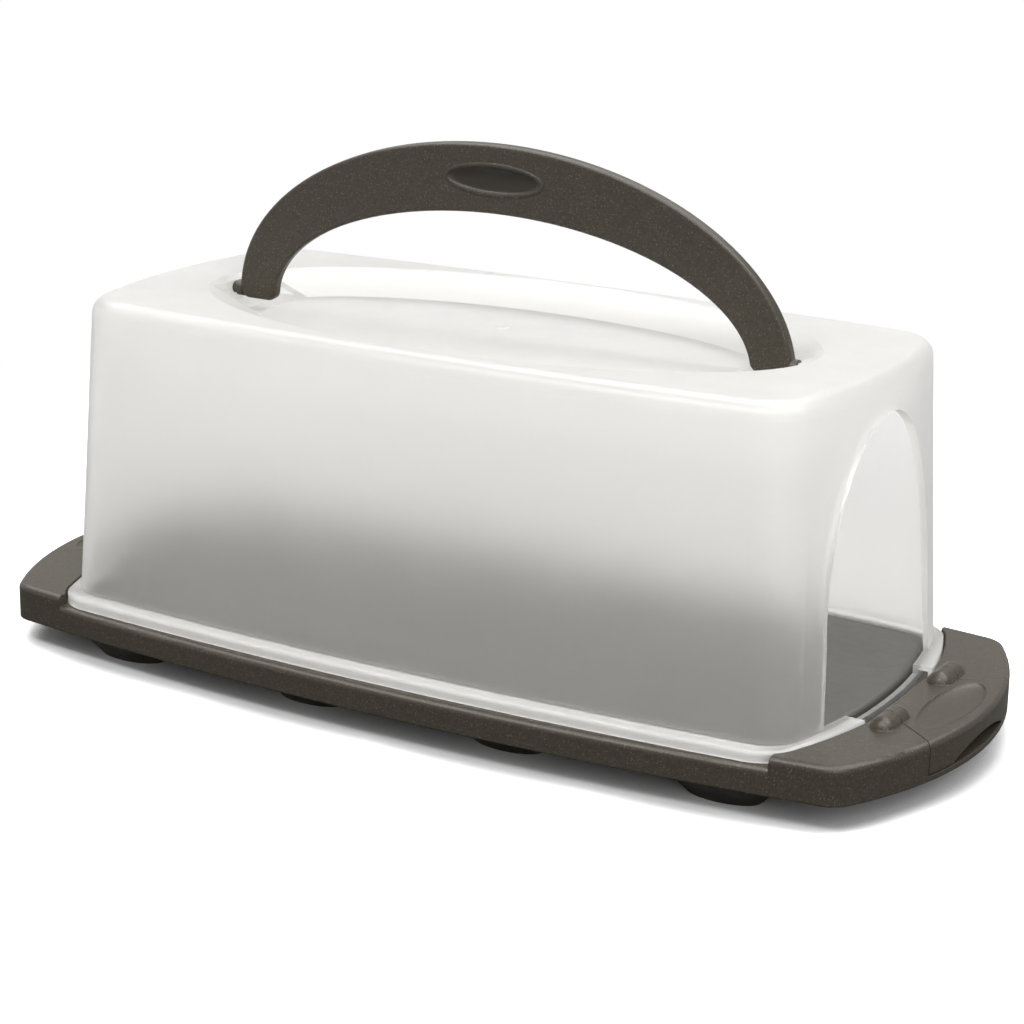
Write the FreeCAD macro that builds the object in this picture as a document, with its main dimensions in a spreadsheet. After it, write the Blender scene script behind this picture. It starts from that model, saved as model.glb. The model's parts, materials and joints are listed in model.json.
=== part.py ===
import FreeCAD, Part
import math
import os
import re
import Sketcher

# Loaf-cake carrier: a tray on eight soft feet, a grey floor insert, a translucent hood that
# lifts off, a swing handle on the hood, and a hinged latch at each end of the tray.
# X runs along the length, Y across, Z up; Z = 0 is the table, X = Y = 0 is the middle.

DRIVING_SIZES = [
    # tray
    ("tray_half_length", 206.0, "middle to the tip of an end"),
    ("tray_half_width", 91.5, "middle to the crown of a long side"),
    ("tray_end_radius", 145.0, "bow of each end, seen from above"),
    ("tray_side_radius", 1352.0, "bow of each long side"),
    ("tray_corner_radius", 11.0, "corner round, seen from above"),
    ("skirt_bottom", 11.0, "table to the lower edge of the tray skirt"),
    ("wing_height", 14.6, "skirt's lower edge to the top of an end wing"),
    ("ledge_step", 4.3, "wing top down to the ledge that carries the hood flange"),
    ("deck_step", 5.3, "ledge down to the sunken deck"),
    ("wing_side_length", 47.8, "tip of an end back to the wing's start on the long side"),
    ("tray_wall", 2.2, "moulded wall of the tray"),
    ("tray_edge_round", 2.4, "round of the tray's top outer edge"),
    ("wing_hollow_inset", 16.6, "latch's wall to the hollow under a wing"),
    ("wing_hollow_side_inset", 23.5, "long side in to the hollow under a wing"),
    ("wing_depth", 29.5, "tip of an end back to the edge of the flange's seat"),
    ("side_rim", 3.0, "long side in to the edge of the flange's seat"),
    # hood
    ("flange_end_reach", 6.5, "flange beyond the end wall"),
    ("flange_side_reach", 7.0, "flange beyond the long wall"),
    ("hood_end_radius", 245.0, "bow of the end wall"),
    ("hood_side_radius", 1770.0, "bow of the long wall"),
    ("hood_corner_radius", 17.0, "upright corner at the flange"),
    ("hood_end_draft", 7.0, "lean of the end wall, foot to top"),
    ("hood_side_draft", 5.5, "lean of the long wall, foot to top"),
    ("hood_top_corner", 20.0, "upright corner at the top"),
    ("hood_height", 120.8, "flange to the top of the hood"),
    ("hood_wall", 2.0, "wall of the hood"),
    ("hood_top_round", 7.0, "round between walls and top"),
    ("flange_end_radius", 190.0, "bow of the flange at the ends"),
    ("flange_corner_radius", 17.0, "corner of the flange"),
    ("flange_depth", 4.4, "top of the flange to the lower edge of its lip"),
    ("flange_thick", 1.8, "flange and lip thickness"),
    ("door_margin", 31.5, "doorway's foot in from the long wall"),
    ("door_lean", 2.0, "how far a jamb leans in"),
    ("door_jamb", 30.0, "flange to the start of the arch"),
    ("door_crown_drop", 14.8, "top of the hood down to the crown of the arch"),
    ("door_sill_drop", 3.4, "flange down to the sill between the flange's ends"),
    # recess in the hood's top
    ("rim_end_land", 30.0, "hood's top end in to the oval rim"),
    ("rim_side_land", 7.5, "hood's top side in to the oval rim"),
    ("rim_round", 1.4, "round of the rim"),
    ("slope_end_run", 20.0, "rim in to the recess floor, along"),
    ("slope_side_run", 20.5, "rim in to the recess floor, across"),
    ("recess_depth", 9.3, "hood's top down to the edge of the recess floor"),
    ("dome_rise", 4.5, "rise of the recess floor's middle"),
    ("gate_radius", 3.0, "small moulding mark in the middle"),
    ("gate_height", 0.5, "height of that mark"),
    ("well_clearance", 4.8, "handle foot to the inner wall of its well"),
    ("handle_side_gap", 3.6, "handle foot to the outer wall of its well"),
    ("well_half_width", 18.0, "handle well, half its width"),
    ("well_depth", 10.1, "pivot axis down to the floor of a handle well"),
    # handle
    ("pivot_drop", 4.1, "hood's top down to the handle's pivot axis"),
    ("grip_end_inset", 7.8, "oval rim in to the outer face of a handle foot"),
    ("grip_rise", 75.1, "lower end of the handle to its crown"),
    ("grip_foot_width", 17.2, "handle strip at its feet"),
    ("grip_crown_width", 27.0, "handle strip at its crown"),
    ("grip_thick", 5.0, "handle strip, front to back"),
    ("grip_edge_round", 1.3, "round of the handle's edges"),
    ("grip_foot_drop", 3.4, "pivot to the lower end of a handle foot"),
    ("grip_foot_round", 4.0, "lower corners of a handle foot"),
    ("grip_lean", 5.5, "degrees that the handle leans to the front where it rests"),
    ("dish_half_length", 20.5, "thumb dish, half its length"),
    ("dish_half_height", 5.2, "thumb dish, half its height"),
    ("dish_depth", 1.5, "thumb dish depth"),
    ("dish_rim_width", 1.3, "raised rim of the thumb dish"),
    ("dish_rim_height", 0.4, "rise of that rim"),
    ("trunnion_radius", 2.5, "handle's pivot pins"),
    ("trunnion_grip", 4.9, "pivot pin inside its socket"),
    ("collar_radius", 3.2, "collar at the root of a pivot pin"),
    ("collar_length", 1.6, "collar width"),
    ("socket_wall", 2.6, "wall round a pivot socket"),
    # floor insert
    ("insert_height", 8.5, "deck to the top of the floor insert"),
    ("insert_round", 3.0, "round of its top edge"),
    ("insert_wall", 2.2, "wall of the insert"),
    ("rib_thick", 1.6, "ribs under the insert"),
    ("rib_margin", 15.0, "rib ends and outer ribs in from the insert's edge"),
    # latches
    ("hinge_inset", 26.0, "tip of the tray back to a latch's hinge axis"),
    ("hinge_drop", 1.0, "wing top down to that axis"),
    ("knuckle_radius", 5.0, "hinge knuckles"),
    ("knuckle_run", 6.0, "seam to the middle of a knuckle's dome"),
    ("hinge_pin_radius", 2.0, "hinge pin"),
    ("pin_reach", 9.5, "hinge pin, each side of the seam"),
    ("latch_heel", 5.7, "hinge axis back to the inner edge of a latch"),
    ("latch_neck_half_width", 27.0, "latch beside its knuckles, half its width"),
    ("latch_neck_length", 6.0, "hinge axis out to the start of the flare"),
    ("latch_flare", 12.0, "how much wider each side of a latch is at its mouth"),
    ("latch_floor_gap", 0.5, "lower edge of a latch to the tray lip under it"),
    ("latch_plate", 3.4, "top plate of a latch"),
    ("latch_wall", 2.2, "skirt of a latch"),
    ("latch_box_offset", 4.0, "hinge axis out to the hollow of a latch"),
    ("latch_edge_round", 2.4, "round of the latch's outer top edge"),
    ("nose_half_width", 12.0, "latch nose, half its width"),
    ("nose_thick", 2.5, "latch nose thickness"),
    ("nose_length", 8.0, "wing top down to the lower end of the nose"),
    ("finger_dish_offset", 13.0, "hinge axis out to the middle of the finger dish"),
    ("finger_dish_half_length", 27.0, "finger dish along the hinge, half of it"),
    ("finger_dish_half_width", 8.5, "finger dish across, half of it"),
    ("finger_dish_depth", 1.8, "finger dish depth"),
    ("scoop_margin", 14.0, "finger gap in from each end of the latch's mouth"),
    ("scoop_rise", 5.2, "rise of the finger gap's arch"),
    ("lip_thick", 2.0, "tray lip under a latch"),
    # feet
    ("foot_end_inset", 72.2, "tip of the tray back to the middle of the outer feet"),
    ("foot_side_inset", 26.0, "long side in to the middle of a row of feet"),
    ("foot_sole_half_length", 14.5, "flat sole of a foot, half its length"),
    ("foot_sole_half_width", 7.0, "flat sole of a foot, half its width"),
    ("foot_flare_length", 12.5, "how much further each end of a foot reaches at its top"),
    ("foot_flare_width", 10.0, "how much further each side of a foot reaches at its top"),
    ("foot_waist", 0.46, "share of that flare reached half way up"),
    ("foot_gap", 0.4, "top of a foot's flare to the skirt's lower edge"),
    ("foot_plug_inset", 2.0, "edge of the flare in to the plug that meets the deck"),
    # clearances
    ("seat_gap", 0.3, "flange lip above the ledge, hood skirt above the deck"),
    ("flange_gap", 1.0, "flange to the wings, all round"),
    ("notch_gap", 2.4, "flange's cut end to the wall beside a latch"),
    ("groove_gap", 1.0, "hood skirt to its groove, each side"),
    ("seam_gap", 0.4, "latch to the wings"),
    ("running_gap", 0.05, "pin to the hole it turns in, on the radius"),
]

# places and sizes that follow from the driving ones
DERIVED_SIZES = {
    "wing_top": "skirt_bottom + wing_height",
    "ledge_top": "wing_top - ledge_step",
    "deck_top": "ledge_top - deck_step",
    "wing_start": "tray_half_length - wing_side_length",
    "seat_half_length": "tray_half_length - wing_depth",
    "flange_half_length": "seat_half_length - flange_gap",
    "flange_half_width": "tray_half_width - side_rim - flange_gap",
    "flange_bottom": "ledge_top + seat_gap",
    "flange_top": "flange_bottom + flange_depth",
    "hood_half_length": "flange_half_length - flange_end_reach",
    "hood_half_width": "flange_half_width - flange_side_reach",
    "hood_top": "flange_top + hood_height",
    "hood_top_half_length": "hood_half_length - hood_end_draft",
    "hood_top_half_width": "hood_half_width - hood_side_draft",
    "door_half_width": "hood_half_width - door_margin",
    "door_spring_half_width": "door_half_width - door_lean",
    "door_spring": "flange_top + door_jamb",
    "door_rise": "hood_height - door_jamb - door_crown_drop",
    "door_sill": "flange_top - door_sill_drop",
    "rim_half_length": "hood_top_half_length - rim_end_land",
    "rim_half_width": "hood_top_half_width - rim_side_land",
    "basin_half_length": "rim_half_length - slope_end_run",
    "basin_half_width": "rim_half_width - slope_side_run",
    "basin_floor": "hood_top - recess_depth",
    "pivot_height": "hood_top - pivot_drop",
    "grip_half_length": "rim_half_length - grip_end_inset",
    "grip_inner_half_length": "grip_half_length - grip_foot_width",
    "grip_inner_rise": "grip_rise - grip_crown_width",
    "grip_base": "pivot_height - grip_foot_drop",
    "well_start": "grip_inner_half_length - well_clearance",
    "well_end": "grip_half_length + handle_side_gap",
    "well_floor": "pivot_height - well_depth",
    "socket_end": "well_end + trunnion_grip + hood_wall",
    "socket_half": "trunnion_radius + socket_wall",
    "insert_top": "deck_top + insert_height",
    "hinge_x": "tray_half_length - hinge_inset",
    "hinge_height": "wing_top - hinge_drop",
    "latch_inner_x": "hinge_x - latch_heel",
    "latch_flare_x": "hinge_x + latch_neck_length",
    "latch_box_x": "hinge_x + latch_box_offset",
    "latch_mouth_half_width": "latch_neck_half_width + latch_flare",
    "latch_bottom": "skirt_bottom + lip_thick + latch_floor_gap",
    "latch_knuckle_end": "latch_neck_half_width - knuckle_run",
    "wing_knuckle_end": "latch_neck_half_width + seam_gap + knuckle_run",
    "pin_inner_end": "latch_neck_half_width - pin_reach",
    "pin_outer_end": "latch_neck_half_width + seam_gap + pin_reach",
    "notch_half_width": "latch_neck_half_width + seam_gap + tray_wall + notch_gap",
    "scoop_half_width": "latch_mouth_half_width - scoop_margin",
    "wing_hollow_start": "latch_neck_half_width + seam_gap + tray_wall + wing_hollow_inset",
    "wing_hollow_end": "tray_half_width - wing_hollow_side_inset",
    "foot_row": "tray_half_width - foot_side_inset",
    "outer_foot": "tray_half_length - foot_end_inset",
    "foot_height": "skirt_bottom - foot_gap",
    "deck_under": "deck_top - tray_wall",
}

MARGIN = "5"        # how far a cutting outline runs past what it cuts
CROSS_RIBS = 4      # ribs across the insert, each side of the middle one
LONG_RIBS = 1       # ribs along it, each side of the middle one
FEET_PER_ROW = 4

CLOSE = 1e-3        # millimetres within which an edge is taken to lie at a place
NEARLY_ZERO = 1e-6  # sizes and volumes below this count as nothing

doc = FreeCAD.newDocument("CakeCarrier")
sheet = doc.addObject("Spreadsheet::Sheet", "Sizes")
for row, (alias, size, note) in enumerate(DRIVING_SIZES, start=1):
    sheet.set(f"A{row}", alias)
    sheet.set(f"B{row}", str(size))
    sheet.set(f"C{row}", note)
    sheet.setAlias(f"B{row}", alias)
doc.recompute()

ALIASES = {alias for alias, size, note in DRIVING_SIZES}


# ---------------------------------------------------------------- sizes and sketches

def sized(text):
    """An expression in which each named size is a reference to its driving cells."""
    def cell(match):
        name = match.group()
        if name in DERIVED_SIZES:
            return f"({sized(DERIVED_SIZES[name])})"
        return "Sizes." + name if name in ALIASES else name
    return re.sub(r"[a-z_]+", cell, text)


def value(text):
    """The number that an expression gives now."""
    return float(sheet.evalExpression(sized(text)))


def bind(thing, prop, text):
    thing.setExpression(prop, sized(text))


def new_body(label):
    body = doc.addObject("PartDesign::Body", label)
    body.Label = label
    return body


def new_sketch(body, name, plane="XY_Plane", offset="0"):
    """A sketch on one of the body's own planes, moved along that plane's normal."""
    sketch = body.newObject("Sketcher::SketchObject", name)
    origin_plane = next(f for f in body.Origin.OriginFeatures if f.Role == plane)
    sketch.AttachmentSupport = [(origin_plane, "")]
    sketch.MapMode = "FlatFace"
    bind(sketch, "AttachmentOffset.Base.z", offset)
    return sketch


def dimension(sketch, kind, references, text):
    index = sketch.addConstraint(Sketcher.Constraint(kind, *references, value(text)))
    bind(sketch, f"Constraints[{index}]", text)


def pin_point(sketch, geometry, end, across, along):
    """Hold a point of the sketch at two expressions."""
    for kind, axis, text in (("DistanceX", -2, across), ("DistanceY", -1, along)):
        size = value(text)
        if abs(size) < NEARLY_ZERO:
            sketch.addConstraint(Sketcher.Constraint("PointOnObject", geometry, end, axis))
        elif size > 0:
            dimension(sketch, kind, (-1, 1, geometry, end), text)
        else:
            dimension(sketch, kind, (geometry, end, -1, 1), f"-({text})")


def polygon(sketch, corners):
    """A closed outline of straight edges; each corner is a pair of expressions."""
    points = [FreeCAD.Vector(value(x), value(y), 0) for x, y in corners]
    count = len(points)
    first = sketch.GeometryCount
    sketch.addGeometry([Part.LineSegment(points[i], points[(i + 1) % count]) for i in range(count)])
    for i, (x, y) in enumerate(corners):
        sketch.addConstraint(
            Sketcher.Constraint("Coincident", first + (i - 1) % count, 2, first + i, 1))
        pin_point(sketch, first + i, 1, x, y)


def rectangle(sketch, low_x, high_x, low_y, high_y):
    polygon(sketch, [(low_x, low_y), (high_x, low_y), (high_x, high_y), (low_x, high_y)])


def circle(sketch, x, y, radius):
    index = sketch.addGeometry(
        Part.Circle(FreeCAD.Vector(value(x), value(y), 0), FreeCAD.Vector(0, 0, 1), value(radius)))
    pin_point(sketch, index, 3, x, y)
    dimension(sketch, "Radius", (index,), radius)


def ellipse(sketch, centre_y, half_length, half_height):
    """A full ellipse on the sketch's vertical axis, longer along the horizontal one."""
    middle = FreeCAD.Vector(0, value(centre_y), 0)
    long_end = middle + FreeCAD.Vector(value(half_length), 0, 0)
    short_end = middle + FreeCAD.Vector(0, value(half_height), 0)
    tall = value(half_height) > value(half_length)
    ends = (short_end, long_end) if tall else (long_end, short_end)
    index = sketch.addGeometry(Part.Ellipse(*ends, middle))
    sketch.exposeInternalGeometry(index)
    long_axis = index + 1
    pin_point(sketch, index, 3, "0", centre_y)
    sketch.addConstraint(Sketcher.Constraint("Vertical" if tall else "Horizontal", long_axis))
    lengths = (half_height, half_length) if tall else (half_length, half_height)
    dimension(sketch, "Distance", (long_axis,), f"2 * ({lengths[0]})")
    dimension(sketch, "Distance", (long_axis + 1,), f"2 * ({lengths[1]})")


def half_ellipse(sketch, spring, half_width, rise):
    """The upper half of an ellipse on the sketch's vertical axis, closed along its spring line."""
    middle = FreeCAD.Vector(0, value(spring), 0)
    side_end = middle + FreeCAD.Vector(value(half_width), 0, 0)
    crown = middle + FreeCAD.Vector(0, value(rise), 0)
    tall = value(rise) > value(half_width)
    whole = Part.Ellipse(crown, side_end, middle) if tall else Part.Ellipse(side_end, crown, middle)
    first = -math.pi / 2 if tall else 0
    arc = sketch.addGeometry(Part.ArcOfEllipse(whole, first, first + math.pi))
    sketch.exposeInternalGeometry(arc)
    long_axis = arc + 1
    line = sketch.addGeometry(Part.LineSegment(sketch.getPoint(arc, 2), sketch.getPoint(arc, 1)))
    sketch.addConstraint(Sketcher.Constraint("Coincident", arc, 2, line, 1))
    sketch.addConstraint(Sketcher.Constraint("Coincident", arc, 1, line, 2))
    pin_point(sketch, arc, 3, "0", spring)
    sketch.addConstraint(Sketcher.Constraint("Vertical" if tall else "Horizontal", long_axis))
    lengths = (rise, half_width) if tall else (half_width, rise)
    dimension(sketch, "Distance", (long_axis,), f"2 * ({lengths[0]})")
    dimension(sketch, "Distance", (long_axis + 1,), f"2 * ({lengths[1]})")
    for end in (1, 2):
        dimension(sketch, "DistanceY", (-1, 1, line, end), spring)


def grown(outline, distance):
    """A bowed outline moved out by a distance, or in where it is negative."""
    return tuple(f"({size}) + ({distance})" for size in outline)


def bowed_outline(sketch, outline):
    """Two long arcs, two end arcs and four corner arcs, tangent all the way round."""
    half_length, half_width, end_radius, side_radius, corner = outline
    end_centre = value(f"({half_length}) - ({end_radius})")
    side_centre = value(f"({half_width}) - ({side_radius})")
    from_end = value(f"({end_radius}) - ({corner})")
    from_side = value(f"({side_radius}) - ({corner})")
    # the corner's centre lies on a circle round each of the two other centres
    apart = math.hypot(end_centre, side_centre)
    along = (from_end ** 2 - from_side ** 2 + apart ** 2) / (2 * apart)
    aside = math.sqrt(from_end ** 2 - along ** 2)
    towards_side = math.atan2(side_centre, -end_centre)
    end_turn = towards_side + math.atan2(aside, along)
    corner_x = end_centre + from_end * math.cos(end_turn)
    corner_y = from_end * math.sin(end_turn)
    side_turn = math.atan2(corner_y - side_centre, corner_x)
    radii = (value(end_radius), value(corner), value(side_radius), value(corner)) * 2
    centres = [(end_centre, 0), (corner_x, corner_y), (0, side_centre), (-corner_x, corner_y),
               (-end_centre, 0), (-corner_x, -corner_y), (0, -side_centre), (corner_x, -corner_y)]
    turns = [-end_turn, end_turn, side_turn, math.pi - side_turn, math.pi - end_turn,
             math.pi + end_turn, math.pi + side_turn, 2 * math.pi - side_turn, 2 * math.pi - end_turn]
    first = sketch.GeometryCount
    up = FreeCAD.Vector(0, 0, 1)
    arcs = [Part.ArcOfCircle(Part.Circle(FreeCAD.Vector(*centre, 0), up, radius), start, stop)
            for centre, radius, start, stop in zip(centres, radii, turns, turns[1:])]
    sketch.addGeometry(arcs)
    for i in range(8):
        sketch.addConstraint(Sketcher.Constraint("Tangent", first + i, 2, first + (i + 1) % 8, 1))
    middle_x = f"({half_length}) - ({end_radius})"
    middle_y = f"({half_width}) - ({side_radius})"
    pin_point(sketch, first, 3, middle_x, "0")
    pin_point(sketch, first + 4, 3, f"-({middle_x})", "0")
    pin_point(sketch, first + 2, 3, "0", middle_y)
    pin_point(sketch, first + 6, 3, "0", f"-({middle_y})")
    for i, radius in enumerate((end_radius, corner, side_radius, corner) * 2):
        dimension(sketch, "Radius", (first + i,), radius)


# ---------------------------------------------------------------- features

def pad(body, sketch, length):
    """Material from the sketch along its plane's normal."""
    feature = body.newObject("PartDesign::Pad", sketch.Name + "Pad")
    feature.Profile = sketch
    bind(feature, "Length", length)
    return feature


def pocket(body, sketch, depth, along_normal=False):
    """A cut from the sketch against its plane's normal, or along it."""
    before = solid_volume(body)
    feature = body.newObject("PartDesign::Pocket", sketch.Name + "Pocket")
    feature.Profile = sketch
    feature.Reversed = along_normal
    bind(feature, "Length", depth)
    must_cut(body, before, feature)
    return feature


def solid_volume(body):
    doc.recompute()
    return body.Shape.Volume


def must_cut(body, before, feature):
    if solid_volume(body) > before - NEARLY_ZERO:
        raise RuntimeError(f"{feature.Name} in {body.Label} cuts nothing")


def loft(body, kind, name, sketches, ruled=True):
    feature = body.newObject(f"PartDesign::{kind}Loft", name)
    feature.Profile = sketches[0]
    feature.Sections = sketches[1:]
    feature.Ruled = ruled
    return feature


def primitive(body, kind, name, sizes, place, rotation=None):
    """A PartDesign primitive with sizes and a position bound to expressions."""
    feature = body.newObject(f"PartDesign::{kind}", name)
    if rotation is not None:
        feature.Placement = FreeCAD.Placement(FreeCAD.Vector(), rotation)
    for prop, text in sizes.items():
        bind(feature, prop, text)
    for axis, text in zip("xyz", place):
        bind(feature, f"Placement.Base.{axis}", text)
    return feature


def box(body, kind, name, low, high):
    sizes = {prop: f"({b}) - ({a})" for prop, a, b in zip(("Length", "Width", "Height"), low, high)}
    return primitive(body, kind + "Box", name, sizes, low)


def fillet(body, base, radius, wanted):
    """Round the base feature's edges that the test picks."""
    doc.recompute()
    names = [f"Edge{i}" for i, edge in enumerate(base.Shape.Edges, start=1) if wanted(edge)]
    if not names:
        raise RuntimeError(f"no edge to round in {body.Label}")
    feature = body.newObject("PartDesign::Fillet", base.Name + "Round")
    feature.Base = (base, names)
    bind(feature, "Radius", radius)
    return feature


def lies_at(edge, height):
    box_of = edge.BoundBox
    return abs(box_of.ZMin - height) < CLOSE and abs(box_of.ZMax - height) < CLOSE


def on_outline(edge, sketch):
    """Whether the middle of an edge lies above or below the sketch's outline."""
    middle = edge.valueAt((edge.FirstParameter + edge.LastParameter) / 2)
    middle.z = sketch.Shape.BoundBox.ZMin
    return sketch.Shape.distToShape(Part.Vertex(middle))[0] < CLOSE


ALONG_X = FreeCAD.Rotation(FreeCAD.Vector(0, 1, 0), 90)
ALONG_Y = FreeCAD.Rotation(FreeCAD.Vector(1, 0, 0), -90)

TRAY = ("tray_half_length", "tray_half_width", "tray_end_radius", "tray_side_radius",
        "tray_corner_radius")
HOOD = ("hood_half_length", "hood_half_width", "hood_end_radius", "hood_side_radius",
        "hood_corner_radius")
HOOD_TOP = ("hood_top_half_length", "hood_top_half_width", "hood_end_radius", "hood_side_radius",
            "hood_top_corner")
FLANGE = ("flange_half_length", "flange_half_width", "flange_end_radius", "hood_side_radius",
          "flange_corner_radius")
SEAT = grown(FLANGE, "flange_gap")
GROOVE = grown(HOOD, "groove_gap")
INSERT = grown(HOOD, "-hood_wall - groove_gap")
END_CENTRE = "tray_half_length - tray_end_radius"


def on_tray_end(across, inset="0"):
    """How far out the tray's bowed end lies at a distance from the middle line."""
    return f"{END_CENTRE} + sqrt((tray_end_radius - {inset})^2 - ({across})^2)"


# ---------------------------------------------------------------- base tray

def latch_plan(sketch, side, inner_x, growth, inset="0"):
    """A latch's plan, from its straight inner edge to the bowed end of the tray."""
    neck = f"latch_neck_half_width + {growth}"
    mouth = f"latch_mouth_half_width + {growth}"
    tip_x = on_tray_end(mouth, inset)
    corners = [(tip_x, mouth), ("latch_flare_x", neck), (inner_x, neck)]
    corners += [(x, f"-({y})") for x, y in reversed(corners)]
    corners = [(f"{side} * ({x})", y) for x, y in corners]
    points = [FreeCAD.Vector(value(x), value(y), 0) for x, y in corners]
    first = sketch.GeometryCount
    sketch.addGeometry([Part.LineSegment(a, b) for a, b in zip(points, points[1:])])
    crown = FreeCAD.Vector(side * value(f"tray_half_length - {inset}"), 0, 0)
    bow = sketch.addGeometry(Part.Arc(points[-1], crown, points[0]))
    starts_low = sketch.getPoint(bow, 1).distanceToPoint(points[-1]) < NEARLY_ZERO
    low_end, high_end = (1, 2) if starts_low else (2, 1)
    for i, (x, y) in enumerate(corners[:-1]):
        pin_point(sketch, first + i, 1, x, y)
        if i:
            sketch.addConstraint(Sketcher.Constraint("Coincident", first + i - 1, 2, first + i, 1))
    pin_point(sketch, bow - 1, 2, *corners[-1])
    sketch.addConstraint(Sketcher.Constraint("Coincident", bow - 1, 2, bow, low_end))
    sketch.addConstraint(Sketcher.Constraint("Coincident", bow, high_end, first, 1))
    dimension(sketch, "Radius", (bow,), f"tray_end_radius - {inset}")


def make_tray():
    body = new_body("base_tray")
    plan = new_sketch(body, "TrayPlan", offset="skirt_bottom")
    bowed_outline(plan, TRAY)
    pad(body, plan, "wing_top - skirt_bottom")

    between = new_sketch(body, "BetweenWings", offset="wing_top")
    rectangle(between, "-wing_start", "wing_start",
              f"-tray_half_width - {MARGIN}", f"tray_half_width + {MARGIN}")
    pocket(body, between, "wing_top - ledge_top")
    seat = new_sketch(body, "FlangeSeat", offset="wing_top")
    bowed_outline(seat, SEAT)
    seat_cut = pocket(body, seat, "wing_top - ledge_top")

    fillet(body, seat_cut, "tray_edge_round",
           lambda edge: any(lies_at(edge, value(top)) for top in ("wing_top", "ledge_top"))
           and on_outline(edge, plan))

    well = new_sketch(body, "DeckWell", offset="ledge_top")
    bowed_outline(well, GROOVE)
    pocket(body, well, "ledge_top - deck_top")

    under = new_sketch(body, "UnderDeck", offset="skirt_bottom")
    bowed_outline(under, grown(TRAY, "-tray_wall"))
    pocket(body, under, "deck_under - skirt_bottom", along_normal=True)
    channel = new_sketch(body, "UnderLedge", offset="deck_under")
    bowed_outline(channel, grown(TRAY, "-tray_wall"))
    bowed_outline(channel, grown(GROOVE, "tray_wall"))
    pocket(body, channel, "ledge_top - deck_top", along_normal=True)
    hollows = new_sketch(body, "UnderWings", offset="ledge_top - tray_wall")
    for side in (1, -1):
        for row in (1, -1):
            wing_hollow(hollows, side, row)
    pocket(body, hollows, "wing_top - ledge_top", along_normal=True)

    for side, end in ((1, "Right"), (-1, "Left")):
        tub = new_sketch(body, f"LatchTub{end}", offset="skirt_bottom")
        latch_plan(tub, side, "latch_inner_x - seam_gap - tray_wall", "seam_gap + tray_wall")
        pad(body, tub, "ledge_top - skirt_bottom - tray_wall / 2")
    for side, end in ((1, "Right"), (-1, "Left")):
        opening = new_sketch(body, f"LatchOpening{end}", offset="skirt_bottom + lip_thick")
        latch_opening(opening, side)
        pocket(body, opening, "wing_top - skirt_bottom", along_normal=True)
        for row, place in ((1, "Back"), (-1, "Front")):
            wing_knuckle(body, side, row, end + place)
    return body


def wing_hollow(sketch, side, row):
    """One four-sided hollow that keeps a wing's wall even."""
    inner = "flange_half_length - flange_end_radius + sqrt(flange_end_radius^2 - ({0})^2)"
    corners = []
    for across in ("wing_hollow_start", "wing_hollow_end"):
        near = f"{inner.format(across)} + flange_gap + tray_wall"
        far = f"{on_tray_end(across)} - tray_wall"
        pair = [(near, across), (far, across)]
        corners += pair if across == "wing_hollow_start" else pair[::-1]
    polygon(sketch, [(f"{side} * ({x})", f"{row} * {y}") for x, y in corners])


def latch_opening(sketch, side):
    """The latch's plan with its seam gap, run out past the tray's end."""
    neck = "latch_neck_half_width + seam_gap"
    mouth = "latch_mouth_half_width + seam_gap"
    slope = "(latch_mouth_half_width - latch_neck_half_width)"
    past = f"{on_tray_end('latch_mouth_half_width')} - latch_flare_x"
    wide = f"{mouth} + {MARGIN} * {slope} / ({past})"
    far = f"{on_tray_end('latch_mouth_half_width')} + {MARGIN}"
    edge = f"tray_half_length + {MARGIN}"
    inner = "latch_inner_x - seam_gap"
    corners = [(inner, neck), ("latch_flare_x", neck), (far, wide), (edge, wide)]
    corners += [(x, f"-({y})") for x, y in reversed(corners)]
    polygon(sketch, [(f"{side} * ({x})", y) for x, y in corners])


def wing_knuckle(body, side, row, name):
    """A domed knuckle on a wing, bored for the hinge pin."""
    start = "(latch_neck_half_width + seam_gap)"
    primitive(body, "AdditiveCylinder", f"WingKnuckle{name}",
              {"Radius": "knuckle_radius", "Height": f"wing_knuckle_end - {start}"},
              (f"{side} * hinge_x", start if row > 0 else "-wing_knuckle_end", "hinge_height"), ALONG_Y)
    primitive(body, "AdditiveSphere", f"WingDome{name}", {"Radius": "knuckle_radius"},
              (f"{side} * hinge_x", f"{row} * wing_knuckle_end", "hinge_height"))
    before = solid_volume(body)
    bore = primitive(body, "SubtractiveCylinder", f"WingBore{name}",
                     {"Radius": "hinge_pin_radius",
                      "Height": "pin_outer_end - latch_neck_half_width"},
                     (f"{side} * hinge_x",
                      "latch_neck_half_width" if row > 0 else "-pin_outer_end",
                      "hinge_height"), ALONG_Y)
    must_cut(body, before, bore)


# ---------------------------------------------------------------- floor insert

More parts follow.
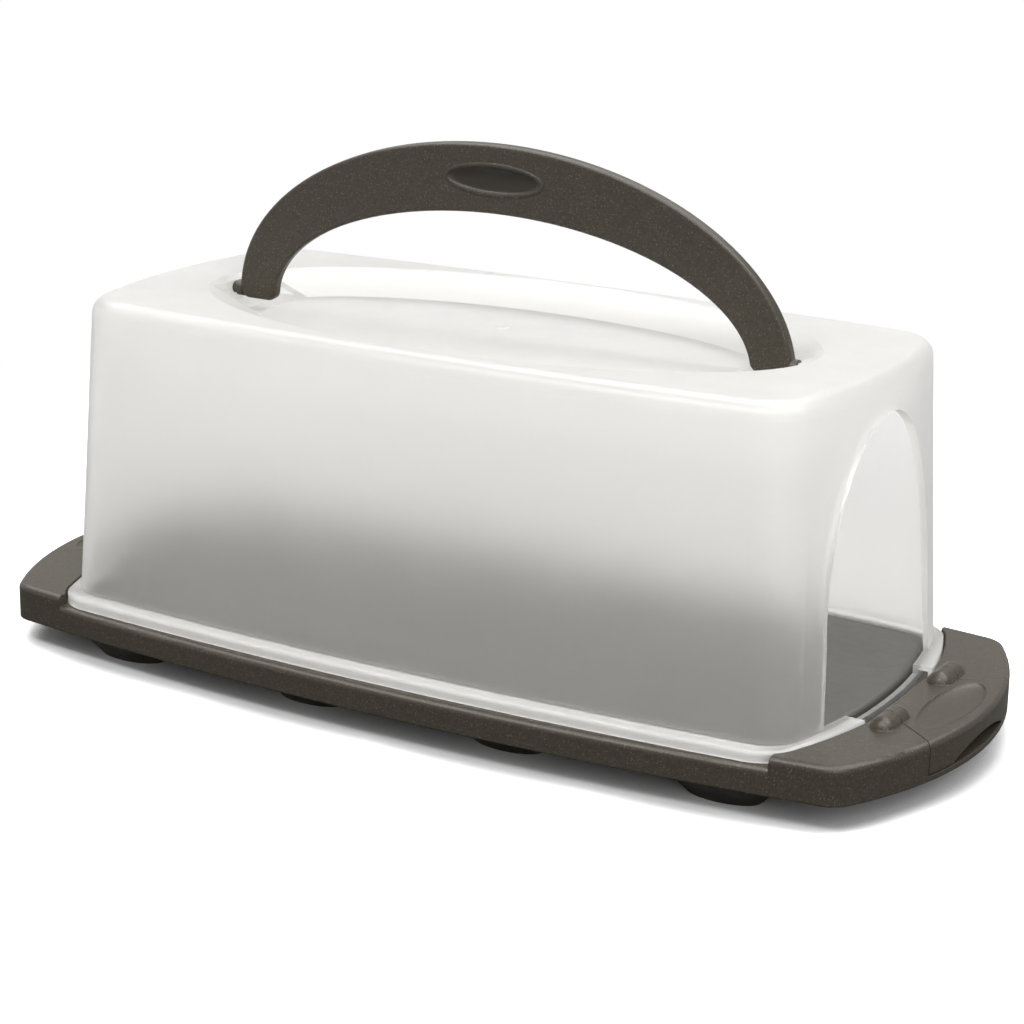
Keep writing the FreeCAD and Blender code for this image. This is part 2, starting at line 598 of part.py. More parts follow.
def make_insert():
    """A grey pan turned over: flat top, rounded edge, ribs underneath."""
    body = new_body("floor_insert")
    plan = new_sketch(body, "InsertPlan", offset="deck_top")
    bowed_outline(plan, INSERT)
    block = pad(body, plan, "insert_top - deck_top")
    rounded = fillet(body, block, "insert_round", lambda edge: lies_at(edge, value("insert_top")))
    hollow = new_sketch(body, "InsertHollow", offset="deck_top")
    bowed_outline(hollow, grown(INSERT, "-insert_wall"))
    pocket(body, hollow, "insert_top - insert_wall - deck_top", along_normal=True)
    top = "insert_top - insert_wall / 2"
    reach_x, reach_y = (f"({half} - rib_margin)" for half in INSERT[:2])
    for count in range(-CROSS_RIBS, CROSS_RIBS + 1):
        middle = f"{reach_x} * {count} / {CROSS_RIBS}"
        box(body, "Additive", f"CrossRib{count + CROSS_RIBS}",
            (f"{middle} - rib_thick / 2", f"-{reach_y}", "deck_top"),
            (f"{middle} + rib_thick / 2", reach_y, top))
    for count in range(-LONG_RIBS, LONG_RIBS + 1):
        middle = f"{reach_y} * {count} / {LONG_RIBS + 1}"
        box(body, "Additive", f"LongRib{count + LONG_RIBS}",
            (f"-{reach_x}", f"{middle} - rib_thick / 2", "deck_top"),
            (reach_x, f"{middle} + rib_thick / 2", top))
    return body


# ---------------------------------------------------------------- hood

def make_hood():
    body = new_body("hood")
    hood_flange(body)
    hood_shell(body)
    hood_recess(body)
    hood_handle_wells(body)
    hood_doorway(body)
    return body


def hood_flange(body):
    """A flange with a turned-down lip, cut away at each end for the latches."""
    block = new_sketch(body, "FlangePlan", offset="flange_bottom")
    bowed_outline(block, FLANGE)
    block_pad = pad(body, block, "flange_depth")
    fillet(body, block_pad, "flange_thick / 2", lambda edge: lies_at(edge, value("flange_top")))
    under = new_sketch(body, "UnderFlange", offset="flange_bottom")
    bowed_outline(under, grown(FLANGE, "-flange_thick"))
    pocket(body, under, "flange_depth - flange_thick", along_normal=True)
    notch = new_sketch(body, "LatchNotches", offset=f"flange_top + {MARGIN}")
    for side in (1, -1):
        rectangle(notch, f"{side} * (hood_half_length - {MARGIN})",
                  f"{side} * (flange_half_length + {MARGIN})", "-notch_half_width", "notch_half_width")
    pocket(body, notch, f"flange_depth + 2 * {MARGIN}")


def hood_shell(body):
    """Skirt, drafted walls and top, one wall thick."""
    skirt = new_sketch(body, "SkirtPlan", offset="deck_top + seat_gap")
    bowed_outline(skirt, HOOD)
    pad(body, skirt, "flange_top - deck_top - seat_gap")
    root = new_sketch(body, "WallRoot", offset="flange_top")
    bowed_outline(root, HOOD)
    crown = new_sketch(body, "WallCrown", offset="hood_top")
    bowed_outline(crown, HOOD_TOP)
    walls = loft(body, "Additive", "Walls", [root, crown])
    fillet(body, walls, "hood_top_round", lambda edge: lies_at(edge, value("hood_top")))

    skirt_hollow = new_sketch(body, "SkirtHollow", offset="deck_top + seat_gap")
    bowed_outline(skirt_hollow, grown(HOOD, "-hood_wall"))
    pocket(body, skirt_hollow, "flange_top - deck_top - seat_gap", along_normal=True)
    inner_root = new_sketch(body, "HollowRoot", offset="flange_top")
    bowed_outline(inner_root, grown(HOOD, "-hood_wall"))
    inner_crown = new_sketch(body, "HollowCrown", offset="hood_top - hood_wall")
    bowed_outline(inner_crown, grown(HOOD_TOP, "-hood_wall - hood_top_round / 4"))
    loft(body, "Subtractive", "Hollow", [inner_root, inner_crown])


def oval(body, name, height, half_length, half_width):
    sketch = new_sketch(body, name, offset=height)
    ellipse(sketch, "0", half_length, half_width)
    return sketch


def hood_recess(body):
    """The oval recess that the handle folds into, with a slightly domed floor."""
    loft(body, "Additive", "RecessBack", [
        oval(body, "BackRim", "hood_top - hood_wall / 2",
             "rim_half_length + hood_wall", "rim_half_width + hood_wall / 2"),
        oval(body, "BackFloor", "basin_floor - hood_wall",
             "basin_half_length + hood_wall", "basin_half_width + hood_wall")])
    rim = oval(body, "Rim", "hood_top", "rim_half_length", "rim_half_width")
    recess = loft(body, "Subtractive", "Recess", [
        rim, oval(body, "Floor", "basin_floor", "basin_half_length", "basin_half_width")])
    fillet(body, recess, "rim_round",
           lambda edge: lies_at(edge, value("hood_top")) and on_outline(edge, rim))
    dome = {"Radius1": "dome_rise", "Radius2": "basin_half_length", "Radius3": "basin_half_width"}
    primitive(body, "AdditiveEllipsoid", "Dome", dome, ("0", "0", "basin_floor"))
    primitive(body, "SubtractiveEllipsoid", "DomeBack", dome, ("0", "0", "basin_floor - hood_wall"))
    primitive(body, "AdditiveCylinder", "GateMark",
              {"Radius": "gate_radius", "Height": "gate_height + hood_wall / 2"},
              ("0", "0", "basin_floor + dome_rise - hood_wall / 2"))


def hood_handle_wells(body):
    """At each end of the recess, a walled well for a handle foot and a bored pivot socket."""
    for side, end in ((1, "Right"), (-1, "Left")):
        low_x, high_x = outward(side, "well_start - hood_wall", "well_end + hood_wall")
        box(body, "Additive", f"WellTub{end}",
            (low_x, "-well_half_width - hood_wall", "well_floor - hood_wall"),
            (high_x, "well_half_width + hood_wall", "basin_floor"))
        low_x, high_x = outward(side, "well_end", "socket_end")
        box(body, "Additive", f"Socket{end}",
            (low_x, "-socket_half", "pivot_height - socket_half"),
            (high_x, "socket_half", "hood_top - hood_wall / 2"))
        low_x, high_x = outward(side, "well_start", "well_end")
        box(body, "Subtractive", f"Well{end}", (low_x, "-well_half_width", "well_floor"),
            (high_x, "well_half_width", "hood_top + hood_wall"))
        low_x, high_x = outward(side, "well_end", "well_end + trunnion_grip + running_gap")
        primitive(body, "SubtractiveCylinder", f"PivotHole{end}",
                  {"Radius": "trunnion_radius + running_gap", "Height": "trunnion_grip + running_gap"},
                  (low_x, "0", "pivot_height"), ALONG_X)


def outward(side, near, far):
    """The low and high X of a stretch at one end, from its distances to the middle."""
    return (near, far) if side > 0 else (f"-({far})", f"-({near})")


def hood_doorway(body):
    """The arched doorway in the right end: a tapering lower half under half an ellipse."""
    jambs = new_sketch(body, "DoorJambs", "YZ_Plane", f"hood_half_length + {MARGIN}")
    polygon(jambs, [("-door_half_width", "flange_top"), ("-notch_half_width", "flange_top"),
                    ("-notch_half_width", "door_sill"), ("notch_half_width", "door_sill"),
                    ("notch_half_width", "flange_top"), ("door_half_width", "flange_top"),
                    ("door_spring_half_width", "door_spring"),
                    ("-door_spring_half_width", "door_spring")])
    pocket(body, jambs, f"hood_half_length + {MARGIN} - socket_end")
    arch = new_sketch(body, "DoorArch", "YZ_Plane", f"hood_half_length + {MARGIN}")
    half_ellipse(arch, "door_spring", "door_spring_half_width", "door_rise")
    pocket(body, arch, f"hood_half_length + {MARGIN} - socket_end")


# ---------------------------------------------------------------- handle

def make_handle():
    """Half an oval strip on edge, with feet, pivot pins and a thumb dish in each face."""
    body = new_body("carry_handle")
    outer = new_sketch(body, "HandleOuter", "XZ_Plane", "-grip_thick / 2")
    ellipse(outer, "grip_base", "grip_half_length", "grip_rise")
    pad(body, outer, "grip_thick")
    inner = new_sketch(body, "HandleInner", "XZ_Plane", "grip_thick")
    ellipse(inner, "grip_base", "grip_inner_half_length", "grip_inner_rise")
    pocket(body, inner, "2 * grip_thick")
    lower = new_sketch(body, "BelowFeet", "XZ_Plane", "grip_thick")
    rectangle(lower, f"-grip_half_length - {MARGIN}", f"grip_half_length + {MARGIN}",
              f"grip_base - grip_rise - {MARGIN}", "grip_base")
    halved = pocket(body, lower, "2 * grip_thick")
    feet = fillet(body, halved, "grip_foot_round",
                  lambda edge: lies_at(edge, value("grip_base")) and edge.BoundBox.XLength < CLOSE)
    face = value("grip_thick / 2")
    fillet(body, feet, "grip_edge_round",
           lambda edge: abs(abs(edge.BoundBox.YMin) - face) < CLOSE and edge.BoundBox.YLength < CLOSE)
    dish_height = "grip_base + (grip_rise + grip_inner_rise) / 2"
    for side, place in ((1, "Front"), (-1, "Back")):
        before = solid_volume(body)
        rim = new_sketch(body, f"DishRim{place}", "XZ_Plane",
                         "grip_thick / 2" if side > 0 else "-grip_thick / 2 - dish_rim_height")
        ellipse(rim, dish_height, "dish_half_length + dish_rim_width",
                "dish_half_height + dish_rim_width")
        ellipse(rim, dish_height, "dish_half_length", "dish_half_height")
        pad(body, rim, "dish_rim_height")
        dish = primitive(body, "SubtractiveEllipsoid", f"ThumbDish{place}",
                         {"Radius1": "dish_depth", "Radius2": "dish_half_length",
                          "Radius3": "dish_half_height"},
                         ("0", f"{-side} * grip_thick / 2", dish_height), ALONG_Y)
        must_cut(body, before, dish)
    for side, end in ((1, "Right"), (-1, "Left")):
        for name, radius, length in (("Collar", "collar_radius", "collar_length"),
                                     ("Trunnion", "trunnion_radius", "handle_side_gap + trunnion_grip")):
            low_x, high_x = outward(side, "grip_half_length - grip_edge_round",
                                    f"grip_half_length + {length}")
            primitive(body, "AdditiveCylinder", name + end,
                      {"Radius": radius, "Height": f"{length} + grip_edge_round"},
                      (low_x, "0", "pivot_height"), ALONG_X)
    body.Placement.Rotation = FreeCAD.Rotation(FreeCAD.Vector(1, 0, 0), value("grip_lean"))
    bind(body, "Placement.Rotation.Angle", "grip_lean * 1deg")
    bind(body, "Placement.Base.y", "pivot_height * sin(grip_lean * 1deg)")
    bind(body, "Placement.Base.z", "pivot_height * (1 - cos(grip_lean * 1deg))")
    return body


# ---------------------------------------------------------------- latches and hinge pins

def make_latch(label, turn):
    """A flap with a finger dish, knuckles, a nose at the hood, and a finger gap below."""
    body = new_body(label)
    plan = new_sketch(body, "LatchPlan", offset="latch_bottom")
    latch_plan(plan, 1, "latch_inner_x", "0")
    block = pad(body, plan, "wing_top - latch_bottom")

    def outer_top_edge(edge):
        middle = edge.valueAt((edge.FirstParameter + edge.LastParameter) / 2)
        out = math.hypot(middle.x - value(END_CENTRE), middle.y)
        return lies_at(edge, value("wing_top")) and abs(out - value("tray_end_radius")) < CLOSE

    fillet(body, block, "latch_edge_round", outer_top_edge)
    inside = new_sketch(body, "LatchInside", offset="latch_bottom")
    latch_plan(inside, 1, "latch_box_x", "-latch_wall", "latch_wall")
    pocket(body, inside, "wing_top - latch_plate - latch_bottom", along_normal=True)

    behind = new_sketch(body, "BehindBox", offset="latch_bottom")
    rectangle(behind, f"latch_inner_x - {MARGIN}", "latch_box_x - latch_wall",
              f"-latch_neck_half_width - {MARGIN}", f"latch_neck_half_width + {MARGIN}")
    pocket(body, behind, "wing_top - latch_plate - latch_bottom", along_normal=True)
    box(body, "Additive", "Nose", ("latch_inner_x", "-nose_half_width", "wing_top - nose_length"),
        ("latch_inner_x + nose_thick", "nose_half_width", "wing_top - latch_plate / 2"))

    for row, place in ((1, "Back"), (-1, "Front")):
        latch_knuckle(body, row, place)
    before = solid_volume(body)
    dish = primitive(body, "SubtractiveEllipsoid", "FingerDish",
                     {"Radius1": "finger_dish_depth", "Radius2": "finger_dish_half_width",
                      "Radius3": "finger_dish_half_length"},
                     ("hinge_x + finger_dish_offset", "0", "wing_top"))
    must_cut(body, before, dish)
    scoop = new_sketch(body, "FingerGap", "YZ_Plane", "latch_flare_x")
    finger_gap(scoop)
    pocket(body, scoop, "tray_half_length - latch_flare_x + hinge_pin_radius", along_normal=True)
    body.Placement = FreeCAD.Placement(FreeCAD.Vector(), FreeCAD.Rotation(turn, 0, 0))
    return body


def latch_knuckle(body, row, place):
    """A domed knuckle that turns beside the wing's, bored for the pin."""
    neck = "latch_neck_half_width"
    primitive(body, "AdditiveCylinder", f"Knuckle{place}",
              {"Radius": "knuckle_radius", "Height": f"{neck} - latch_knuckle_end"},
              ("hinge_x", "latch_knuckle_end" if row > 0 else f"-{neck}", "hinge_height"), ALONG_Y)
    primitive(body, "AdditiveSphere", f"Dome{place}", {"Radius": "knuckle_radius"},
              ("hinge_x", f"{row} * latch_knuckle_end", "hinge_height"))
    before = solid_volume(body)
    bore_start = "(pin_inner_end - running_gap)"
    bore = primitive(body, "SubtractiveCylinder", f"Bore{place}",
                     {"Radius": "hinge_pin_radius + running_gap",
                      "Height": f"{neck} - {bore_start} + seam_gap"},
                     ("hinge_x", bore_start if row > 0 else f"-{neck} - seam_gap",
                      "hinge_height"), ALONG_Y)
    must_cut(body, before, bore)


def finger_gap(sketch):
    """A low arch through the outer skirt, open downwards."""
    half, low = "scoop_half_width", f"latch_bottom - {MARGIN}"
    left = FreeCAD.Vector(-value(half), value("latch_bottom"), 0)
    right = FreeCAD.Vector(value(half), value("latch_bottom"), 0)
    top = FreeCAD.Vector(0, value("latch_bottom + scoop_rise"), 0)
    arch = sketch.addGeometry(Part.Arc(right, top, left))
    flip = sketch.getPoint(arch, 1).distanceToPoint(right) > NEARLY_ZERO
    at_right, at_left = (2, 1) if flip else (1, 2)
    low_left = FreeCAD.Vector(-value(half), value(low), 0)
    low_right = FreeCAD.Vector(value(half), value(low), 0)
    sketch.addGeometry([Part.LineSegment(left, low_left), Part.LineSegment(low_left, low_right),
                        Part.LineSegment(low_right, right)])
    pin_point(sketch, arch, at_right, half, "latch_bottom")
    pin_point(sketch, arch, at_left, f"-{half}", "latch_bottom")
    dimension(sketch, "Radius", (arch,), "(scoop_half_width^2 + scoop_rise^2) / (2 * scoop_rise)")
    sketch.addConstraint(Sketcher.Constraint("Coincident", arch, at_left, arch + 1, 1))
    sketch.addConstraint(Sketcher.Constraint("Coincident", arch + 1, 2, arch + 2, 1))
    sketch.addConstraint(Sketcher.Constraint("Coincident", arch + 2, 2, arch + 3, 1))
    sketch.addConstraint(Sketcher.Constraint("Coincident", arch + 3, 2, arch, at_right))
    pin_point(sketch, arch + 2, 1, f"-{half}", low)
    pin_point(sketch, arch + 2, 2, half, low)


def make_pin(label, side, row):
    """A steel hinge pin, pressed into a wing's knuckle, along Y."""
    pin = doc.addObject("Part::Cylinder", label)
    pin.Label = label
    pin.Placement = FreeCAD.Placement(FreeCAD.Vector(), ALONG_Y)
    bind(pin, "Radius", "hinge_pin_radius")
    bind(pin, "Height", "pin_outer_end - pin_inner_end")
    bind(pin, "Placement.Base.x", f"{side} * hinge_x")
    bind(pin, "Placement.Base.y", "pin_inner_end" if row > 0 else "-pin_outer_end")
    bind(pin, "Placement.Base.z", "hinge_height")
    return pin


# ---------------------------------------------------------------- feet

def make_foot(label, number, row):
    """A soft oval foot: flat sole, sides that flare out to the skirt, a plug up to the deck."""
    body = new_body(label)
    levels = []
    for name, share, height in (("Sole", "0", "0"), ("Waist", "foot_waist", "foot_height / 2"),
                                ("Flare", "1", "foot_height")):
        level = new_sketch(body, name, offset=height)
        ellipse(level, "0", f"foot_sole_half_length + {share} * foot_flare_length",
                f"foot_sole_half_width + {share} * foot_flare_width")
        levels.append(level)
    loft(body, "Additive", "Sides", levels, ruled=False)
    plug = new_sketch(body, "Plug", offset="foot_height")
    ellipse(plug, "0", "foot_sole_half_length + foot_flare_length - foot_plug_inset",
            "foot_sole_half_width + foot_flare_width - foot_plug_inset")
    pad(body, plug, "deck_under - foot_height")
    bind(body, "Placement.Base.x", f"outer_foot * {number} / {FEET_PER_ROW - 1}")
    bind(body, "Placement.Base.y", f"{row} * foot_row")
    return body


# ---------------------------------------------------------------- the whole carrier

nodes = [make_tray(), make_insert(), make_hood(), make_handle(),
         make_latch("latch_right", 0), make_latch("latch_left", 180)]
for side, end in ((1, "right"), (-1, "left")):
    for row, place in ((1, "back"), (-1, "front")):
        nodes.append(make_pin(f"hinge_pin_{end}_{place}", side, row))
for row, place in ((-1, "front"), (1, "back")):
    for count in range(FEET_PER_ROW):
        nodes.append(make_foot(f"foot_{place}_{count + 1}", 2 * count + 1 - FEET_PER_ROW, row))
doc.recompute()

for thing in doc.Objects:
    if "Invalid" in thing.State or "Error" in thing.State:
        raise RuntimeError(f"{thing.Label} did not rebuild: {thing.State}")
for node in nodes:
    if node.Shape.isNull() or not node.Shape.isValid() or len(node.Shape.Solids) != 1:
        raise RuntimeError(f"{node.Label} is not one valid solid")

os.makedirs("parts", exist_ok=True)
for node in nodes:
    node.Shape.exportStep(os.path.join("parts", node.Label + ".step"))
    print(node.Label, round(node.Shape.Volume / 1000, 2), "cm3")
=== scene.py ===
import json
import math

import bpy
from mathutils import Matrix, Vector

# Loaf-cake carrier in a plain white studio. Every visible shape is one of the frame's own solids;
# this script gives them their finishes, and adds the floor, the light and the camera.
# Lengths are in metres, colours are linear, and the scale of a texture is per metre.

MM = 0.001
WHITE = (1.0, 1.0, 1.0)

# the view that was fitted to the outlines of the tray, flange and hood
CAMERA_PLACE = Vector((501.8, -845.7, 364.9)) * MM
CAMERA_AZIMUTH = math.radians(30.40)
CAMERA_ELEVATION = math.radians(16.85)
CAMERA_ROLL = math.radians(0.917)
CAMERA_SIGHT = 30.0
FOCAL_PIXELS = 2591.3
FRAME_PIXELS = 1024
SENSOR_MM = 36.0

# dark plastic of the tray, the handle and the latches
ANTHRACITE = (0.070, 0.060, 0.045)
ANTHRACITE_DEEP = (0.050, 0.043, 0.032)
ANTHRACITE_FLECK = (0.200, 0.174, 0.134)
FLECK_EDGE = (0.18, 0.34)       # a fleck's soft edge, in cells from its middle
FLECK_PICK = (0.80, 0.86)       # a cell whose random number is above these has a fleck
DISH_MIDDLE = (0.0, -0.0056, 0.2006)    # thumb dish in the handle, darkened with painted shade, at rest
DISH_HALF = (0.0205, 0.012, 0.0052)     # half its size along each axis
DISH_EDGE = (0.88, 1.0)         # where its painted shade ends, as a share of that
DISH_SHADE = 0.45               # painted shade in the dish: its colour, as a share of the plastic's

# frosted plastic of the hood
FROSTED_CLEAR = (0.955, 0.95, 0.94)
FROSTED_MILK = (0.95, 0.945, 0.93)
MILK_THROWN_BACK = 0.75         # share of the scattered light that doesn't go through
WALL_PASSES = (0.88, 0.88, 0.87)        # light that reaches what is inside
HAZE_FACING = 0.05              # share of the light that is scattered, seen square on
HAZE_SLANTED = 0.90             # the same, seen along the surface
HAZE_SLANT = (0.48, 0.80)       # slants between which it grows, from 0 facing to 1 along
HAZE_THICK = 0.42               # at the flange and at the folds of the top, where the wall is thickest
FLANGE_TOP = (0.0260, 0.0270)   # heights over which the flange's haze ends
TOP_FOLDS = (0.118, 0.138)      # heights over which the haze of the folds starts
WALL_FOOT_HAZE = 0.25           # share of the haze that is left where a wall meets the flange
WALL_FOOT_RUN = 0.0045          # distance outwards over which the rest comes back
END_WALL, END_BOW = 0.169, 0.245        # middle of the hood to the end wall's foot, and its radius
LONG_WALL, LONG_BOW = 0.0805, 1.770     # the same for the long wall

# the other finishes
INSERT_GREY = (0.062, 0.057, 0.050)
FOOT_BLACK = (0.030, 0.027, 0.021)
STEEL = (0.56, 0.56, 0.57)
NOISE_SPAN = (0.3, 0.7)         # nearly all the values of a noise lie between these

# studio
FLOOR_HALF = 6.0                # half its width
FLOOR_SEEN = (2.1, 2.1, 2.1)    # bright enough that the edge of the soft shadow is white
FLOOR_PAINTED_SHADOW = (0.85, 0.85, 0.85)      # painted contact shadow, right under the tray's edge
FLOOR_BEHIND = (0.88, 0.88, 0.87)       # the floor seen through the hood
FLOOR_BOUNCE = (0.20, 0.20, 0.20)       # what the floor throws back on the object
CONTACT_REACH = 0.03            # width of the painted dark shadow next to the tray
CONTACT_OPENNESS = (0.50, 0.75)         # how open the floor is at its two edges
SHADOW_END = (0.34, 0.59)       # distances from the middle over which the floor turns plain white
WORLD_LIGHT = 0.46              # strength of the white surroundings as a light
SOFT_BOX_GLOW = 5.5             # what the soft box overhead adds in reflections
SOFT_BOX_EDGE = (0.55, 0.75)    # sines of the angles above the floor over which it starts
BEHIND_DIMMED = 0.45            # what reflections of the surroundings behind the object lose
BEHIND_EDGE = (0.3, 0.7)        # sines of the angles towards the back over which they lose it

# lamps: place, spot they are aimed at, size across and along, and watts
LAMPS = {
    "key": ((-0.2, -1.1, 1.55), (0, 0, 0.05), (1.8, 0.3), 15.0),
    "fill": ((1.5, -1.1, 0.9), (0, 0, 0.08), (1.2, 1.2), 12.0),
    "top": ((0.1, 0.3, 1.9), (0, 0, 0.05), (1.8, 1.2), 2.0),
    "rim": ((1.2, 0.45, 1.5), (0.1, 0, 0.02), (0.3, 1.2), 6.0),
}

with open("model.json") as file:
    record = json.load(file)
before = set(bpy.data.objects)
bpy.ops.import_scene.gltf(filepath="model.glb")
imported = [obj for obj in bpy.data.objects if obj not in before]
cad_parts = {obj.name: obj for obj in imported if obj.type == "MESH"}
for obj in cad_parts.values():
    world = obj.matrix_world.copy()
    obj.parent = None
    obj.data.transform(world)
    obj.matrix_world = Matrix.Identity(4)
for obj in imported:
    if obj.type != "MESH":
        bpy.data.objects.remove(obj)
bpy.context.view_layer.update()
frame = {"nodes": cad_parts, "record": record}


# ---------------------------------------------------------------- node helpers

def add(tree, kind, inputs=None, **settings):
    """A node with its settings, its input values, and links where an input is given a socket."""
    node = tree.nodes.new(kind)
    for name, setting in settings.items():
        setattr(node, name, setting)
    for name, given in (inputs or {}).items():
        feed(tree, node.inputs[name], given)
    return node


def feed(tree, socket, given):
    """Links a socket to another, or sets its value."""
    if isinstance(given, bpy.types.NodeSocket):
        tree.links.new(given, socket)
    else:
        socket.default_value = given


def new_material(name):
    """A material with an empty node tree."""
    material = bpy.data.materials.new(name)
    material.use_nodes = True
    material.node_tree.nodes.clear()
    return material, material.node_tree


def show(tree, shader):
    """Makes a shader the material's surface."""
    add(tree, "ShaderNodeOutputMaterial", {"Surface": shader})


def place(tree):
    """Positions in the object's own frame."""
    return add(tree, "ShaderNodeTexCoord").outputs["Object"]


def along_axes(tree, vector):
    return add(tree, "ShaderNodeSeparateXYZ", {"Vector": vector}).outputs


def light_path(tree):
    return add(tree, "ShaderNodeLightPath").outputs


def maths(tree, operation, *terms, clamped=False):
    return add(tree, "ShaderNodeMath", dict(enumerate(terms)), operation=operation,
               use_clamp=clamped).outputs[0]


def vector_maths(tree, operation, *terms):
    return add(tree, "ShaderNodeVectorMath", dict(enumerate(terms)), operation=operation).outputs


def remap(tree, source, span, result=(0.0, 1.0)):
    """Turns one span of values into another, and holds the ends beyond it."""
    return add(tree, "ShaderNodeMapRange", {
        "Value": source, "From Min": span[0], "From Max": span[1],
        "To Min": result[0], "To Max": result[1]}).outputs["Result"]


def mix_colours(tree, share, first, second):
    """One colour into another. The node has sockets of every kind, so its colour ones are picked."""
    node = add(tree, "ShaderNodeMix", data_type="RGBA")
    colour_sockets = [socket for socket in node.inputs if socket.type == "RGBA"]
    for socket, given in zip([node.inputs["Factor"], *colour_sockets], (share, first, second)):
        feed(tree, socket, given)
    return next(socket for socket in node.outputs if socket.type == "RGBA")


def mix_shaders(tree, share, first, second):
    return add(tree, "ShaderNodeMixShader", {0: share, 1: first, 2: second}).outputs[0]


def rgba(colour):
    return (*colour, 1.0)


def shaded(colour, share):
    return tuple(channel * share for channel in colour)


# ---------------------------------------------------------------- what finishes share

def noise(tree, scale, detail=2.0, roughness=0.5, at=None):
    return add(tree, "ShaderNodeTexNoise", {
        "Vector": place(tree) if at is None else at, "Scale": scale, "Detail": detail,
        "Roughness": roughness}).outputs["Fac"]


def clouded(tree, source, first, second, span=(0.35, 0.65)):
    """A colour that wanders between two with a noise."""
    return mix_colours(tree, remap(tree, source, span), rgba(first), rgba(second))


def satin(tree, source, smoothest, roughest):
    """A roughness that wanders with a noise.

    It stays above 0.28 everywhere: where it crosses 0.274, denoising leaves cracks in the picture.
    """
    return remap(tree, source, NOISE_SPAN, (smoothest, roughest))


def moulded(tree, edge, grain, strength, depth):
    """Surface directions with a small round on every edge and a fine grain over it."""
    rounded = add(tree, "ShaderNodeBevel", {"Radius": edge}, samples=6).outputs["Normal"]
    return add(tree, "ShaderNodeBump", {
        "Height": grain, "Normal": rounded, "Strength": strength,
        "Distance": depth}).outputs["Normal"]


# ---------------------------------------------------------------- finishes

def flecks(tree, scale):
    """1 inside scattered round flecks, one in the middle of each picked cell, and 0 elsewhere."""
    cells = add(tree, "ShaderNodeTexVoronoi", {"Vector": place(tree), "Scale": scale}).outputs
    size = remap(tree, cells["Distance"], FLECK_EDGE, (1.0, 0.0))
    number = add(tree, "ShaderNodeSeparateColor", {"Color": cells["Color"]}).outputs["Red"]
    return maths(tree, "MULTIPLY", size, remap(tree, number, FLECK_PICK))


def in_thumb_dish(tree):
    """1 inside the handle's thumb dish, and 0 elsewhere."""
    centred = vector_maths(tree, "SUBTRACT", place(tree), DISH_MIDDLE)["Vector"]
    scaled = vector_maths(tree, "DIVIDE", centred, DISH_HALF)["Vector"]
    return remap(tree, vector_maths(tree, "LENGTH", scaled)["Value"], DISH_EDGE, (1.0, 0.0))


def anthracite_plastic():
    """Brownish dark moulding with metallic flecks and a fine grain, with painted shade in the thumb
    dish.
    """
    material, tree = new_material("anthracite_plastic")
    mottled = clouded(tree, noise(tree, scale=1100.0), ANTHRACITE_DEEP, ANTHRACITE)
    flecked = mix_colours(tree, flecks(tree, scale=1500.0), mottled, rgba(ANTHRACITE_FLECK))
    # painted shade: the hollow of the thumb dish is darker than the plastic round it
    dish_painted_shade = rgba(shaded(ANTHRACITE, DISH_SHADE))
    shader = add(tree, "ShaderNodeBsdfPrincipled", {
        "Base Color": mix_colours(tree, in_thumb_dish(tree), flecked, dish_painted_shade),
        "Roughness": satin(tree, noise(tree, scale=420.0, detail=3.0), 0.285, 0.35),
        "Specular IOR Level": 0.22,
        "Normal": moulded(tree, edge=0.9 * MM, grain=noise(tree, scale=2400.0), strength=0.10,
                          depth=0.03 * MM)})
    show(tree, shader.outputs["BSDF"])
    return material


def haze_over_flange(tree, out, along, wall, bow):
    """Share of the haze that is left over the flange, outwards from the foot of a bowed wall."""
    reach = maths(tree, "ABSOLUTE", out)
    # away from its middle, the wall falls back by half the square of the way along, over its radius
    straightened = maths(tree, "MULTIPLY_ADD", maths(tree, "MULTIPLY", along, along), 0.5 / bow, reach)
    return remap(tree, straightened, (wall, wall + WALL_FOOT_RUN), (WALL_FOOT_HAZE, 1.0))


def milkiness(tree):
    """Share of the light that the hood scatters: more where its wall is seen aslant or is thick."""
    slant = add(tree, "ShaderNodeLayerWeight", {"Blend": 0.5}).outputs["Facing"]
    haze = remap(tree, slant, HAZE_SLANT, (HAZE_FACING, HAZE_SLANTED))
    spot = along_axes(tree, place(tree))
    flange = remap(tree, spot["Z"], FLANGE_TOP, (HAZE_THICK, 0.0))
    folds = remap(tree, spot["Z"], TOP_FOLDS, (0.0, HAZE_THICK))
    haze = maths(tree, "MAXIMUM", haze, maths(tree, "MAXIMUM", flange, folds))
    past_end = haze_over_flange(tree, spot["X"], spot["Y"], END_WALL, END_BOW)
    past_side = haze_over_flange(tree, spot["Y"], spot["X"], LONG_WALL, LONG_BOW)
    left = maths(tree, "MAXIMUM", past_end, past_side)
    above_flange = remap(tree, spot["Z"], FLANGE_TOP)
    return maths(tree, "MULTIPLY", haze, maths(tree, "MAXIMUM", left, above_flange))


def milk(tree):
    """White that is scattered in the plastic, part of it through the wall."""
    cloud = clouded(tree, noise(tree, scale=45.0, detail=6.0, roughness=0.7),
                    shaded(FROSTED_MILK, 0.95), FROSTED_MILK, span=NOISE_SPAN)
    through = add(tree, "ShaderNodeBsdfTranslucent", {"Color": cloud}).outputs["BSDF"]
    back = add(tree, "ShaderNodeBsdfDiffuse", {"Color": cloud}).outputs["BSDF"]
    return mix_shaders(tree, MILK_THROWN_BACK, through, back)


